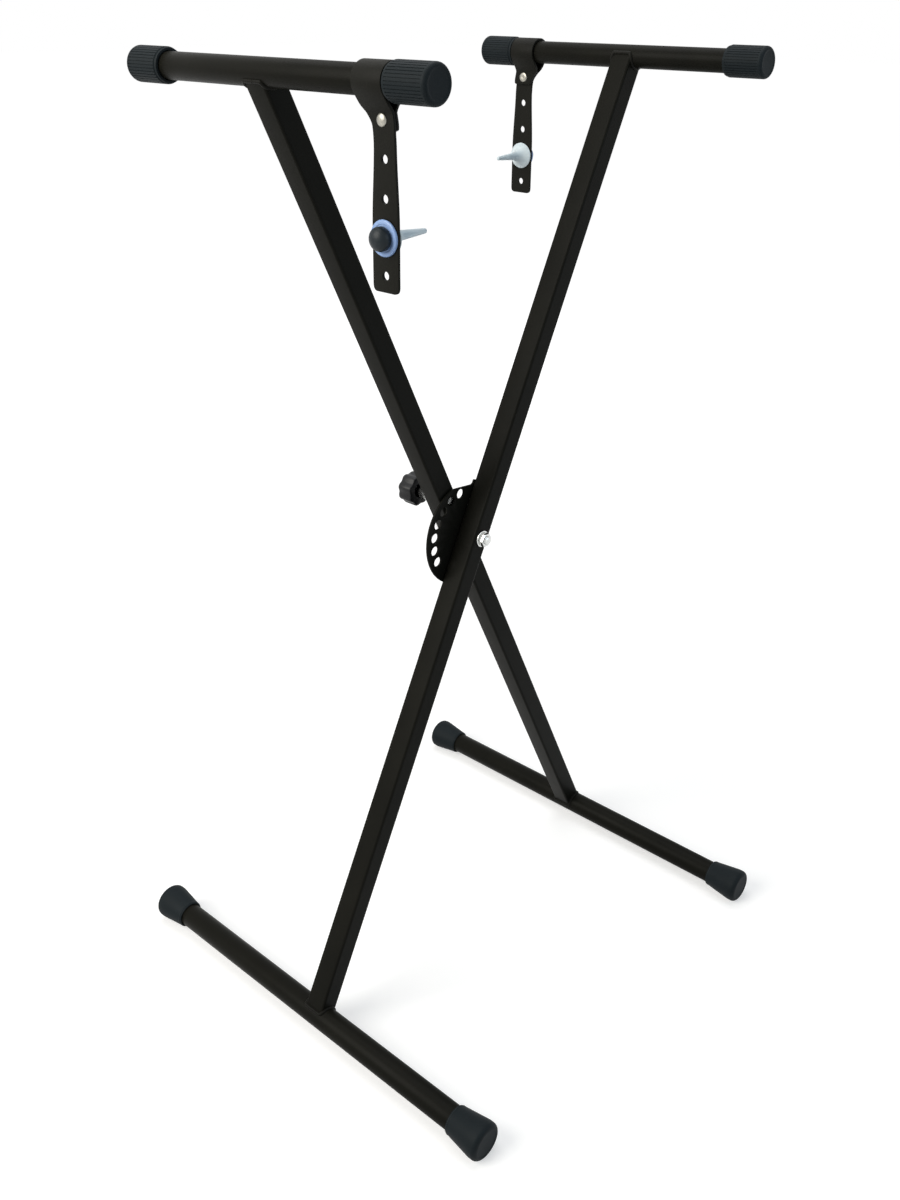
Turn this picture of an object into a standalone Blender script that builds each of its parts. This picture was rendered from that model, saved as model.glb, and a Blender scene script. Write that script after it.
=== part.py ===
"""Single-braced X keyboard stand: two welded leg frames on one pivot, a perforated locking plate with a
sprung lock pin, and a riveted rubber strap with a push-through peg on each support arm.

Metres, +Z up. The support arms and the feet run along Y; leg A leans to -X at the top, leg B to +X.
"""
import bpy
import bmesh
from math import acos, asin, cos, pi, radians, sin, sqrt
from mathutils import Matrix, Vector

MM = 0.001
GAP = 0.3 * MM  # between neighbouring pieces

# stance
HALF_ANGLE = radians(26.57)  # of each leg from upright
LEG_UP = 505.0 * MM  # pivot to support arm axis
LEG_DOWN = 525.5 * MM  # pivot to foot axis

# leg tube, rectangular
LEG_W = 22.0 * MM  # in the plane of the X
LEG_T = 23.0 * MM  # along Y
LEG_WALL = 1.5 * MM
LEG_CORNER = 2.5 * MM
LEG_SPACE = 3.4 * MM  # between the two legs
BEAD_R = 2.2 * MM  # weld bead

# round tubes
ARM_R = 11.1 * MM
ARM_WALL = 1.3 * MM
ARM_HALF = 168.5 * MM  # middle to cap end
FOOT_R = 12.7 * MM
FOOT_WALL = 1.4 * MM
FOOT_HALF = 243.5 * MM  # middle to boot end
TUBE_SIDES = 32

# ribbed end cap of a support arm
CAP_R = 14.6 * MM
CAP_LEN = 41.0 * MM
CAP_END = 4.2 * MM  # thickness of the closed end
CAP_RIBS = 36
CAP_RIB_DEPTH = 0.55 * MM
CAP_COLLAR = 3.0 * MM  # smooth band at the mouth
CAP_STEP = 0.7 * MM  # from the collar up to the ribs
CAP_SHOULDER = 0.4 * MM  # length of that step
CAP_EASE = 0.6 * MM  # soft edge at the mouth and at the ribs' outer ends
CAP_RIM = 3.6 * MM  # smooth band at the closed end
CAP_CROWN = 2.2 * MM  # rounding of the closed end, across
CAP_CROWN_SIDE = 0.5 * MM
CAP_CROWN_LEN = 1.6 * MM

# rubber boot of a foot
BOOT_NECK_R = 14.4 * MM
BOOT_LIP = 0.6 * MM
BOOT_LIP_LEN = 1.6 * MM
BOOT_R = 19.0 * MM
BOOT_LEN = 40.0 * MM
BOOT_END = 4.5 * MM  # thickness of the closed end
BOOT_TREAD = 5.0 * MM  # width of the band that stands on the floor
BOOT_ROUND = 5.0 * MM

# pivot
BOLT_R = 4.0 * MM
BOLT_FREE = 0.4 * MM  # round the bolt
BOLT_CHAMFER = 0.7 * MM
SLEEVE_R = 6.0 * MM
WASHER_R = 8.5 * MM
WASHER_T = 1.6 * MM
HEX_AF = 13.0 * MM  # across the flats of the head and the nut
HEX_OUTER = 0.9  # outer face, as a share of the full hexagon
HEX_UNDER = 0.93  # face on the washer, as a share of it
HEX_UNDER_LEN = 0.5 * MM
HEAD_T = 5.3 * MM
NUT_T = 5.0 * MM
BOLT_PAST_NUT = 2.9 * MM
LINER_R = 14.0 * MM
LINER_T = 0.5 * MM

# locking plate on leg B
PLATE_R = 55.7 * MM
PLATE_T = 2.0 * MM
PLATE_BACK = 8.0 * MM  # how far it reaches past the pivot under the leg
PLATE_FLAT = 50.2 * MM  # pivot to the straight edge above the first hole
PLATE_FLAT_TURN = radians(20.4)  # of that edge from square to the leg
PLATE_FILLET = 3.5 * MM  # where that edge runs into the leg
RING_R = 45.0 * MM
RING_PITCH = radians(18.0)
RING_HOLES = 7
RING_HOLE_R = 5.1 * MM
RING_BEFORE = 1  # holes on the narrow side of the one in use

# lock pin on leg A
PIN_R = 4.6 * MM
PIN_BIG = 24.0 * MM  # length of the thick end
ROD_R = 3.0 * MM
PIN_TRAVEL = 14.0 * MM
PIN_CLEAR = 0.4 * MM  # drawn back behind the plate
PIN_EASE = 0.4 * MM
PIN_NOSE = 1.5 * MM  # rounding of the tip, across
PIN_NOSE_LEN = 1.6 * MM
PIN_NOSE_END = 0.6 * MM
HOUSING_R = 7.0 * MM
HOUSING_BORE = 5.0 * MM
HOUSING_OUT = 38.0 * MM  # outer end from the middle plane
HOUSING_END = 2.8 * MM
HOUSING_DEPTH = 1.6 * MM  # inner end behind leg A's wall
HOUSING_EDGE = 0.6 * MM
FLANGE_R = 9.0 * MM
FLANGE_T = 1.8 * MM
FLANGE_FILLET = 1.0 * MM
FLANGE_FOOT = 0.8 * MM
SPRING_WIRE = 0.5 * MM
SPRING_R = 4.1 * MM
SPRING_TURNS = 6
KNOB_R = 15.9 * MM
KNOB_LOBE = 0.8 * MM
KNOB_LOBES = 8
KNOB_LEN = 18.0 * MM
KNOB_RECESS_R = 8.0 * MM
KNOB_RECESS = 13.0 * MM
KNOB_HUB = 3.0 * MM
KNOB_EDGE = 1.2 * MM
KNOB_EDGE_LEN = 1.0 * MM
KNOB_CROWN = 3.5 * MM  # length of the outer end's rounding
KNOB_CROWN_R = 4.0 * MM
KNOB_STOP = 0.5 * MM  # between the knob and the flange when the pin is in

# strap
STRAP_T = 2.5 * MM
STRAP_LOOP_W = 29.0 * MM
STRAP_NECK_W = 21.0 * MM
STRAP_W = 26.0 * MM
STRAP_CAP_GAP = 0.6 * MM  # between the loop and the cap
STRAP_OFFSET = 6.6 * MM  # tongue's middle from the loop's, towards the cap
STRAP_DROP = 147.0 * MM  # arm axis to the strap's end
STRAP_TAIL = 33.0 * MM  # arm axis to the end of the short layer
RIVET_DROP = 25.6 * MM
RIVET_ASIDE = 1.8 * MM  # from the tongue's middle
RIVET_R = 4.8 * MM
RIVET_SHANK = 2.0 * MM
RIVET_HEAD = 1.9 * MM
RIVET_SEAT = 0.1 * MM
HOLE_FIRST = 52.0 * MM
HOLE_PITCH = 27.5 * MM
HOLE_COUNT = 4
PEG_HOLE = 2  # the hole that carries the peg
HOLE_R = 3.4 * MM

# peg
PEG_FLANGE_R = 13.5 * MM
PEG_WASHER_T = 2.0 * MM
PEG_WASHER_UNDER = 0.6 * MM
PEG_EASE = 0.5 * MM
PEG_RIM = 0.8 * MM
PEG_NECK_FREE = 0.4 * MM  # in the strap's hole
PEG_KNOB_R = 9.0 * MM
PEG_KNOB_H = 9.5 * MM
PEG_KNOB_SIDE = 3.5 * MM  # straight part below the dome
PEG_CONE = 14.0 * MM  # length of the flare between flange and spike
PEG_ROOT_R = 3.9 * MM
PEG_TIP_R = 2.1 * MM
PEG_TIP_FLAT = 0.2 * MM
PEG_TIP_ROUND = 1.2 * MM
PEG_FLARE_ROOT = 1.6 * MM  # how far the flare has opened near the spike
PEG_FLARE_RIM = 4.0 * MM  # how far it is inside the flange further on
PEG_LEN = 42.0 * MM
PEG_SCREW_R = 1.4 * MM
PEG_SCREW_OUT = 5.5 * MM  # into the knob

FINE = 0.00001
FAR = 2 * LEG_T  # a cutter reaches this far to both sides


def clear_scene():
    for obj in list(bpy.data.objects):
        bpy.data.objects.remove(obj, do_unlink=True)


def new_collection(name):
    group = bpy.data.collections.new(name)
    bpy.context.scene.collection.children.link(group)
    return group


def material(name, colour, metallic, roughness):
    made = bpy.data.materials.new(name)
    made.use_nodes = True
    shader = made.node_tree.nodes["Principled BSDF"]
    shader.inputs["Base Color"].default_value = (*colour, 1.0)
    shader.inputs["Metallic"].default_value = metallic
    shader.inputs["Roughness"].default_value = roughness
    return made


clear_scene()
STAND = new_collection("keyboard_stand")
CUTTERS = new_collection("cutters")
CUTTERS.hide_render = True

PAINT = material("black_powder_coat", (0.012, 0.012, 0.013), 0.0, 0.35)
RUBBER = material("black_rubber", (0.02, 0.021, 0.022), 0.0, 0.6)
STRAP_RUBBER = material("strap_rubber", (0.022, 0.021, 0.018), 0.0, 0.55)
ZINC = material("bright_zinc", (0.75, 0.76, 0.76), 1.0, 0.25)
PLASTIC = material("black_plastic", (0.015, 0.015, 0.016), 0.0, 0.4)
CLEAR = material("clear_blue_plastic", (0.55, 0.63, 0.85), 0.0, 0.3)
NYLON = material("white_nylon", (0.75, 0.75, 0.72), 0.0, 0.5)
SPRING_STEEL = material("spring_steel", (0.5, 0.5, 0.5), 1.0, 0.3)


def empty(name, location, tilt=0.0, parent=None):
    made = bpy.data.objects.new(name, None)
    STAND.objects.link(made)
    made.location = location
    made.rotation_euler = (0.0, tilt, 0.0)
    made.parent = parent
    return made


def add(name, data, finish, parent, location=(0, 0, 0), turn=(0, 0, 0)):
    """Puts a mesh or a curve in the model. One without a finish only cuts or joins others."""
    made = bpy.data.objects.new(name, data)
    if finish:
        STAND.objects.link(made)
        data.materials.append(finish)
    else:
        CUTTERS.objects.link(made)
        made.hide_render = True
        made.display_type = "WIRE"
    made.parent = parent
    made.location = location
    made.rotation_euler = turn
    return made


def finish_mesh(name, shape, finish, parent, location=(0, 0, 0), turn=(0, 0, 0)):
    bmesh.ops.recalc_face_normals(shape, faces=shape.faces)
    data = bpy.data.meshes.new(name)
    shape.to_mesh(data)
    shape.free()
    data.shade_smooth()
    data.set_sharp_from_angle(angle=radians(35))
    return add(name, data, finish, parent, location, turn)


def cylinder(name, radius, low, high, sides, finish, parent, location=(0, 0, 0), turn=(0, 0, 0)):
    """A rod along Z with flats, not edges, towards X and Y."""
    shape = bmesh.new()
    place = Matrix.Translation((0, 0, (low + high) / 2)) @ Matrix.Rotation(pi / sides, 4, "Z")
    bmesh.ops.create_cone(
        shape, cap_ends=True, segments=sides, radius1=radius, radius2=radius, depth=high - low, matrix=place
    )
    return finish_mesh(name, shape, finish, parent, location, turn)


def revolve(name, profile, sides, finish, parent, location=(0, 0, 0), turn=(0, 0, 0), ring=False):
    """Turns a (radius, height) profile about Z. It runs down the outer side; a ring's profile is closed."""
    data = bpy.data.meshes.new(name)
    edges = [(i, i + 1) for i in range(len(profile) - 1)]
    if ring:
        edges.append((len(profile) - 1, 0))
    data.from_pydata([(r, 0.0, z) for r, z in profile], edges, [])
    made = add(name, data, finish, parent, location, turn)
    screw = made.modifiers.new("turn", "SCREW")
    screw.axis = "Z"
    screw.angle = 2 * pi
    screw.steps = screw.render_steps = sides
    screw.use_merge_vertices = True
    screw.merge_threshold = FINE
    screw.use_smooth_shade = True
    return made


def sheet(name, outlines, thick, finish, parent, location, turn):
    """A flat sheet cut to its first outline, with the others as holes."""
    curve = bpy.data.curves.new(name, "CURVE")
    curve.dimensions = "2D"
    curve.fill_mode = "BOTH"
    curve.extrude = thick / 2
    for outline in outlines:
        line = curve.splines.new("POLY")
        line.points.add(len(outline) - 1)
        for point, (x, y) in zip(line.points, outline):
            point.co = (x, y, 0.0, 1.0)
        line.use_cyclic_u = True
    return add(name, curve, finish, parent, location, turn)


def loft(rings, closed=False):
    """Skins rings of points. A ring of one point is a pole, and other end rings are filled."""
    shape = bmesh.new()
    rows = [[shape.verts.new(p) for p in ring] for ring in rings]
    pairs = list(zip(rows, rows[1:] + rows[:1])) if closed else list(zip(rows, rows[1:]))
    for low, high in pairs:
        count = max(len(low), len(high))
        for i in range(count):
            j = (i + 1) % count
            if len(low) == 1:
                shape.faces.new((low[0], high[i], high[j]))
            elif len(high) == 1:
                shape.faces.new((low[i], low[j], high[0]))
            else:
                shape.faces.new((low[i], low[j], high[j], high[i]))
    if not closed:
        for row in (rows[0], rows[-1]):
            if len(row) > 2:
                shape.faces.new(row)
    return shape


def circle(radius, height, sides):
    turns = [2 * pi * i / sides for i in range(sides)]
    return [(radius * cos(a), radius * sin(a), height) for a in turns]


def sweep(path, radius, sides, closed=False):
    """A round rod of one radius along a path of points."""
    path = [Vector(p) for p in path]
    rings = []
    normal = None
    for i, here in enumerate(path):
        if closed:
            along = path[(i + 1) % len(path)] - path[i - 1]
        else:
            along = path[min(i + 1, len(path) - 1)] - path[max(i - 1, 0)]
        along.normalize()
        if normal is None:
            normal = along.orthogonal()
        normal = (normal - along * normal.dot(along)).normalized()
        side = along.cross(normal)
        rings.append([
            here + radius * (cos(2 * pi * k / sides) * normal + sin(2 * pi * k / sides) * side)
            for k in range(sides)
        ])
    return loft(rings, closed)


def boolean(target, other, operation):
    cut = target.modifiers.new(operation.lower(), "BOOLEAN")
    cut.operation = operation
    cut.solver = "EXACT"
    cut.object = other
    return cut


ALONG_Y = -pi / 2  # turn about X that lays a Z axis along +Y
AGAINST_Y = pi / 2
FACET = pi / TUBE_SIDES  # half a facet, so that a flat faces straight up and down
INWARD = (0, pi / 2, 0)  # lays a Z axis along +X


def drill(target, name, radius, low, high, location=(0, 0, 0), turn=(ALONG_Y, 0, 0), sides=24):
    rod = cylinder(name, radius, low, high, sides, None, target.parent, location, turn)
    boolean(target, rod, "DIFFERENCE")


foot_axis_z = BOOT_R * cos(pi / TUBE_SIDES)
pivot = Vector((0.0, 0.0, foot_axis_z + LEG_DOWN * cos(HALF_ANGLE)))
frame_a = empty("frame_a", pivot, -HALF_ANGLE)
frame_b = empty("frame_b", pivot, HALF_ANGLE)


# legs
def section(width, depth, corner, split=1):
    """Points round a rounded rectangle. Split runs across X let a bead follow a saddle."""
    points = []
    for sx, sy, start in ((1, 1, 0.0), (-1, 1, 0.5), (-1, -1, 1.0), (1, -1, 1.5)):
        cx, cy = sx * (width / 2 - corner), sy * (depth / 2 - corner)
        for a in (pi * (start + k / 6) for k in range(4)):
            points.append((cx + corner * cos(a), cy + corner * sin(a)))
        if sx == sy:
            points += [(cx - 2 * cx * k / split, sy * depth / 2) for k in range(1, split)]
    return points


def rect_tube(name, parent, y_mid):
    outer = section(LEG_W, LEG_T, LEG_CORNER)
    inner = section(LEG_W - 2 * LEG_WALL, LEG_T - 2 * LEG_WALL, LEG_CORNER - LEG_WALL)
    rings = []
    for outline, height in ((outer, -LEG_DOWN), (outer, LEG_UP), (inner, LEG_UP), (inner, -LEG_DOWN)):
        rings.append([(x, y + y_mid, height) for x, y in outline])
    return finish_mesh(name, loft(rings, closed=True), PAINT, parent)


def bead(name, parent, y_mid, reach, tube_r, sign):
    """Weld bead round the mouth of a leg, on the saddle where it meets its round tube."""
    outline = section(LEG_W, LEG_T, LEG_CORNER, split=8)
    path = [(x, y + y_mid, sign * (reach - sqrt((tube_r + GAP) ** 2 - x * x))) for x, y in outline]
    return finish_mesh(name, sweep(path, BEAD_R, 8, closed=True), None, parent)


def leg(name, parent, y_mid, tilt):
    """A rectangular tube, welded at both ends and coped to its arm and its foot."""
    made = rect_tube(name, parent, y_mid)
    for end, reach, radius, sign in (("top", LEG_UP, ARM_R, 1), ("foot", LEG_DOWN, FOOT_R, -1)):
        weld = boolean(made, bead(f"{name}_{end}_bead", parent, y_mid, reach, radius, sign), "UNION")
        weld.use_self = True  # the bead folds over itself at the corners
        place = (0, 0, sign * reach)
        drill(made, f"{name}_{end}_cope", radius + GAP, -FAR, FAR, place, (ALONG_Y, tilt, 0), 48)
    drill(made, f"{name}_pivot_hole", SLEEVE_R + GAP, -FAR, FAR)
    return made


leg_face = LEG_SPACE / 2
leg_mid = leg_face + LEG_T / 2
leg_out = leg_face + LEG_T
leg_a = leg("leg_a", frame_a, leg_mid, HALF_ANGLE)
leg("leg_b", frame_b, -leg_mid, -HALF_ANGLE)


# round tubes with their caps and boots
def pipe(name, parent, height, radius, wall, half, tilt):
    profile = [(radius, half), (radius, -half), (radius - wall, -half), (radius - wall, half)]
    turn = (ALONG_Y, tilt + FACET, 0)
    return revolve(name, profile, TUBE_SIDES, PAINT, parent, (0, 0, height), turn, ring=True)


def rib_ring(radius, height, depth=0.0):
    """A ring of points that dip by depth between the ribs."""
    count = 2 * CAP_RIBS
    dips = [radius - depth * (i % 2) for i in range(count)]
    return [(r * cos(2 * pi * i / count), r * sin(2 * pi * i / count), height) for i, r in enumerate(dips)]


def arm_cap(name, parent, side, tilt):
    """Ribbed sleeve cap: smooth collar, ribs, rounded rim and flat end, over a blind bore."""
    bore = ARM_R + GAP
    floor = CAP_LEN - CAP_END
    collar = CAP_R - CAP_STEP
    rings = [
        [(0, 0, floor)],
        rib_ring(bore, floor),
        rib_ring(bore, 0),
        rib_ring(collar - CAP_EASE, 0),
        rib_ring(collar, CAP_EASE),
        rib_ring(collar, CAP_COLLAR - CAP_SHOULDER),
        rib_ring(CAP_R, CAP_COLLAR, CAP_RIB_DEPTH),
        rib_ring(CAP_R, CAP_LEN - CAP_RIM - CAP_EASE, CAP_RIB_DEPTH),
        rib_ring(CAP_R, CAP_LEN - CAP_RIM),
        rib_ring(CAP_R - CAP_CROWN_SIDE, CAP_LEN - CAP_CROWN_LEN),
        rib_ring(CAP_R - CAP_CROWN, CAP_LEN),
        [(0, 0, CAP_LEN)],
    ]
    start = (0, side * (ARM_HALF - CAP_LEN), LEG_UP)
    turn = (ALONG_Y if side > 0 else AGAINST_Y, tilt, 0)
    return finish_mesh(name, loft(rings), RUBBER, parent, start, turn)


def boot(name, parent, side, tilt):
    """Flared rubber boot that stands on the floor on the band next to its rounded end."""
    bore = FOOT_R + GAP
    tread = BOOT_LEN - BOOT_ROUND
    turns = [pi / 2 * (1 - k / 4) for k in range(5)]
    rounding = [(BOOT_R - BOOT_ROUND * (1 - cos(a)), tread + BOOT_ROUND * sin(a)) for a in turns]
    profile = [
        (0, BOOT_LEN),
        *rounding,
        (BOOT_R, tread - BOOT_TREAD),
        (BOOT_NECK_R + BOOT_LIP, BOOT_LIP_LEN),
        (BOOT_NECK_R, 0.0),
        (bore, 0.0),
        (bore, BOOT_LEN - BOOT_END),
        (0, BOOT_LEN - BOOT_END),
    ]
    start = (0, side * (FOOT_HALF - BOOT_LEN), -LEG_DOWN)
    turn = (ALONG_Y if side > 0 else AGAINST_Y, tilt + FACET, 0)
    return revolve(name, profile, TUBE_SIDES, RUBBER, parent, start, turn)


for key, frame, tilt in (("a", frame_a, HALF_ANGLE), ("b", frame_b, -HALF_ANGLE)):
    pipe(f"support_arm_{key}", frame, LEG_UP, ARM_R, ARM_WALL, ARM_HALF - CAP_END - GAP, tilt)
    pipe(f"foot_tube_{key}", frame, -LEG_DOWN, FOOT_R, FOOT_WALL, FOOT_HALF - BOOT_END - GAP, tilt)
    for end, side in (("near", -1), ("far", 1)):
        arm_cap(f"arm_cap_{key}_{end}", frame, side, tilt)
        boot(f"foot_boot_{key}_{end}", frame, side, tilt)


# pivot: sleeves, bolt, nut, washers and liner, on the Y axis through the legs
def ring(name, outer, inner, thick, start, finish, frame=frame_a):
    profile = [(outer, thick), (outer, 0), (inner, 0), (inner, thick)]
    return revolve(name, profile, 24, finish, frame, (0, start, 0), (ALONG_Y, 0, 0), ring=True)


def hexagon(name, thick, start, turn):
    """A hexagon with its edges eased, a little more on the outer face."""
    steps = [
        (HEX_UNDER, 0),
        (1.0, HEX_UNDER_LEN),
        (1.0, thick - BOLT_CHAMFER),
        (HEX_OUTER, thick),
    ]
    corner = HEX_AF / 2 / cos(pi / 6)
    rings = [circle(corner * share, height, 6) for share, height in steps]
    return finish_mesh(name, loft(rings), ZINC, frame_a, (0, start, 0), turn)


bolt_bore = BOLT_R + BOLT_FREE
ring("pivot_sleeve_a", SLEEVE_R, bolt_bore, LEG_T, leg_face, ZINC)
ring("pivot_sleeve_b", SLEEVE_R, bolt_bore, LEG_T, -leg_out, ZINC, frame_b)
head_start = leg_out + GAP + WASHER_T + GAP
nut_start = -head_start
bolt_end = nut_start - NUT_T - BOLT_PAST_NUT
ring("head_washer", WASHER_R, bolt_bore, WASHER_T, leg_out + GAP, ZINC)
ring("nut_washer", WASHER_R, bolt_bore, WASHER_T, nut_start + GAP, ZINC)

bolt = hexagon("pivot_bolt", HEAD_T, head_start, (ALONG_Y, 0, 0))
shank_top = head_start + HEAD_T / 2
shank_profile = [
    (0, shank_top),
    (BOLT_R, shank_top),
    (BOLT_R, bolt_end + BOLT_CHAMFER),
    (BOLT_R - BOLT_CHAMFER, bolt_end),
    (0, bolt_end),
]
shank = revolve("bolt_shank", shank_profile, 24, None, frame_a, (0, 0, 0), (ALONG_Y, 0, 0))
boolean(bolt, shank, "UNION")
nut = hexagon("pivot_nut", NUT_T, nut_start, (AGAINST_Y, 0, 0))
drill(nut, "nut_bore", BOLT_R + GAP, -NUT_T, 2 * NUT_T, (0, nut_start, 0), (AGAINST_Y, 0, 0))

# locking plate: a half moon welded to the inner face of leg B, with a ring of holes
plate_start = -leg_face + GAP
plate_face = plate_start + PLATE_T


def plate_arc(first, last, steps):
    """Points on the round edge, by their angle from leg B's upper end."""
    angles = [first + (last - first) * k / steps for k in range(steps + 1)]
    return [(-PLATE_R * sin(a), PLATE_R * cos(a)) for a in angles]


def plate_outline():
    """Under the leg's upper end, down a fillet, along the straight edge and round the half moon."""
    leg_edge = -LEG_W / 2
    mid_x = leg_edge - PLATE_FILLET
    mid_y = (PLATE_FLAT + PLATE_FILLET + mid_x * sin(PLATE_FLAT_TURN)) / cos(PLATE_FLAT_TURN)
    turns = [(PLATE_FLAT_TURN - pi / 2) * k / 4 for k in range(5)]
    fillet = [(mid_x + PLATE_FILLET * cos(a), mid_y + PLATE_FILLET * sin(a)) for a in turns]
    back = asin(PLATE_BACK / PLATE_R)
    corner = PLATE_FLAT_TURN + acos(PLATE_FLAT / PLATE_R)
    return plate_arc(-back, asin(-leg_edge / PLATE_R), 4) + fillet + plate_arc(corner, pi + back, 32)


def hole_outline(radius, sides, x=0.0, y=0.0):
    angles = [2 * pi * (i + 0.5) / sides for i in range(sides)]
    return [(x + radius * cos(a), y + radius * sin(a)) for a in angles]


opening = 2 * HALF_ANGLE
ring_angles = [opening + (k - RING_BEFORE) * RING_PITCH for k in range(RING_HOLES)]
ring_holes = [hole_outline(RING_HOLE_R, 20, -RING_R * sin(a), RING_R * cos(a)) for a in ring_angles]
plate_cuts = [plate_outline(), hole_outline(bolt_bore, 24), *ring_holes]
plate_middle = (0, (plate_start + plate_face) / 2, 0)
sheet("locking_plate", plate_cuts, PLATE_T, PAINT, frame_b, plate_middle, (AGAINST_Y, 0, 0))
liner_start = plate_face + (leg_face - plate_face - LINER_T) / 2
ring("pivot_liner", LINER_R, bolt_bore, LINER_T, liner_start, NYLON)

# lock: housing through leg A, sprung pin and lobed knob; the pin is drawn back behind the plate
lock_at = (0, 0, RING_R)
lock_turn = (ALONG_Y, 0, 0)
rod_bore = ROD_R + GAP
drill(leg_a, "pin_hole", HOUSING_BORE, -FAR, leg_mid, lock_at)
drill(leg_a, "housing_hole", HOUSING_R + GAP, leg_mid, FAR, lock_at)
housing_low = leg_face + LEG_WALL + HOUSING_DEPTH
flange_low = leg_out + GAP
flange_high = flange_low + FLANGE_T
bore_end = HOUSING_OUT - HOUSING_END
housing_profile = [
    (HOUSING_R - HOUSING_EDGE, HOUSING_OUT),
    (HOUSING_R, HOUSING_OUT - HOUSING_EDGE),
    (HOUSING_R, flange_high + FLANGE_FILLET),
    (HOUSING_R + FLANGE_FOOT, flange_high),
    (FLANGE_R, flange_high - HOUSING_EDGE),
    (FLANGE_R, flange_low),
    (HOUSING_R, flange_low),
    (HOUSING_R, housing_low),
    (HOUSING_BORE, housing_low),
    (HOUSING_BORE, bore_end),
    (rod_bore, bore_end),
    (rod_bore, HOUSING_OUT),
]
revolve("lock_housing", housing_profile, 32, ZINC, frame_a, lock_at, lock_turn, ring=True)

tip = plate_face + PIN_CLEAR
shoulder = tip + PIN_BIG
knob_low = flange_high + KNOB_STOP + PIN_TRAVEL
knob_floor = knob_low + KNOB_RECESS
knob_high = knob_low + KNOB_LEN
rod_end = knob_floor + KNOB_HUB - GAP
lock_slide = empty("lock_slide", lock_at, 0.0, frame_a)
pin_profile = [
    (0, rod_end),
    (ROD_R, rod_end),
    (ROD_R, shoulder),
    (PIN_R - PIN_EASE, shoulder),
    (PIN_R, shoulder - PIN_EASE),
    (PIN_R, tip + PIN_NOSE_LEN),
    (PIN_R - PIN_NOSE / 3, tip + PIN_NOSE_END),
    (PIN_R - PIN_NOSE, tip),
    (0, tip),
]
revolve("lock_pin", pin_profile, 32, ZINC, lock_slide, (0, 0, 0), lock_turn)

coil_low = shoulder + GAP + SPRING_WIRE
coil_high = bore_end - GAP - SPRING_WIRE


def spring_path(low, high, steps=16):
    count = SPRING_TURNS * steps
    turns = [2 * pi * i / steps for i in range(count + 1)]
    rises = [low + (high - low) * i / count for i in range(count + 1)]
    return [(SPRING_R * cos(a), rise, SPRING_R * sin(a)) for a, rise in zip(turns, rises)]


coil = sweep(spring_path(coil_low, coil_high), SPRING_WIRE, 6)
finish_mesh("lock_spring", coil, SPRING_STEEL, frame_a, lock_at)


def knob_ring(height, inset=0.0, count=48):
    """A ring of the knob: a circle with lobes, set in from the full radius."""
    turns = [2 * pi * i / count for i in range(count)]
    radii = [KNOB_R - inset + KNOB_LOBE * cos(KNOB_LOBES * a) for a in turns]
    return [(r * cos(a), r * sin(a), height) for r, a in zip(radii, turns)]


knob_rings = [
    [(0, 0, knob_floor + KNOB_HUB)],
    circle(rod_bore, knob_floor + KNOB_HUB, 48),
    circle(rod_bore, knob_floor, 48),
    circle(KNOB_RECESS_R, knob_floor, 48),
    circle(KNOB_RECESS_R, knob_low, 48),
    knob_ring(knob_low, KNOB_EDGE),
    knob_ring(knob_low + KNOB_EDGE_LEN),
    knob_ring(knob_high - KNOB_CROWN),
    knob_ring(knob_high - KNOB_EDGE_LEN, KNOB_EDGE),
    circle(KNOB_R - KNOB_CROWN_R, knob_high, 48),
    [(0, 0, knob_high)],
]
finish_mesh("lock_knob", loft(knob_rings), PLASTIC, lock_slide, (0, 0, 0), lock_turn)


# straps, pegs and rivets: drawn for the arm of leg A, whose outer side is -X, and turned for leg B
layer = (STRAP_T + GAP) / 2  # each of the two layers under the arm, from the middle
loop_y = ARM_HALF - CAP_LEN - STRAP_CAP_GAP - STRAP_LOOP_W / 2
strap_y = loop_y + STRAP_OFFSET
rivet_at = (0, -strap_y + RIVET_ASIDE, -RIVET_DROP)


def strap_path():
    """(x, z, width, y) down the middle of the strap, from the end of the tail, over the arm, to the tip."""
    wrap_r = ARM_R + GAP + STRAP_T / 2
    loop_w, neck_w = STRAP_LOOP_W, STRAP_NECK_W
    half_y = (loop_y + strap_y) / 2
    down = [
        (10.35, -7.25, loop_w, loop_y),
        (6.9, -12.2, loop_w, loop_y),
        (3.6, -16.6, loop_w - 0.6 * MM, loop_y + 0.4 * MM),
        (None, -20.2, loop_w - 2.8 * MM, loop_y + 2.1 * MM),
        (None, -24.0, (loop_w + neck_w) / 2, half_y + 0.8 * MM),
        (None, -29.0, neck_w + 1.5 * MM, strap_y - 1.0 * MM),
    ]
    down = [(layer if x is None else x * MM, z * MM, w, y) for x, z, w, y in down]
    tail = [
        (layer, -STRAP_TAIL + 1.2 * MM, neck_w + 0.3 * MM, strap_y - 0.6 * MM),
        (layer, -STRAP_TAIL, neck_w - 4.0 * MM, strap_y - 0.6 * MM),
    ]
    path = tail[::-1] + down[::-1]
    steps = 15
    for k in range(1, steps):
        a = radians(-35) + radians(250) * k / steps
        path.append((wrap_r * cos(a), wrap_r * sin(a), loop_w, loop_y))
    path += [(-x, z, w, y) for x, z, w, y in down]
    full = STRAP_W
    path += [
        (-layer, -36 * MM, neck_w, strap_y - 0.3 * MM),
        (-layer, -44 * MM, neck_w + 0.4 * MM, strap_y),
        (-layer, -62 * MM, neck_w + 2.5 * MM, strap_y),
        (-layer, -88 * MM, full - 0.6 * MM, strap_y),
        (-layer, -112 * MM, full, strap_y),
        (-layer, -STRAP_DROP + 4.5 * MM, full, strap_y),
        (-layer, -STRAP_DROP + 2.6 * MM, full - 0.8 * MM, strap_y),
        (-layer, -STRAP_DROP + 1.0 * MM, full - 3.2 * MM, strap_y),
        (-layer, -STRAP_DROP, full - 8.0 * MM, strap_y),
    ]
    return path


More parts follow.
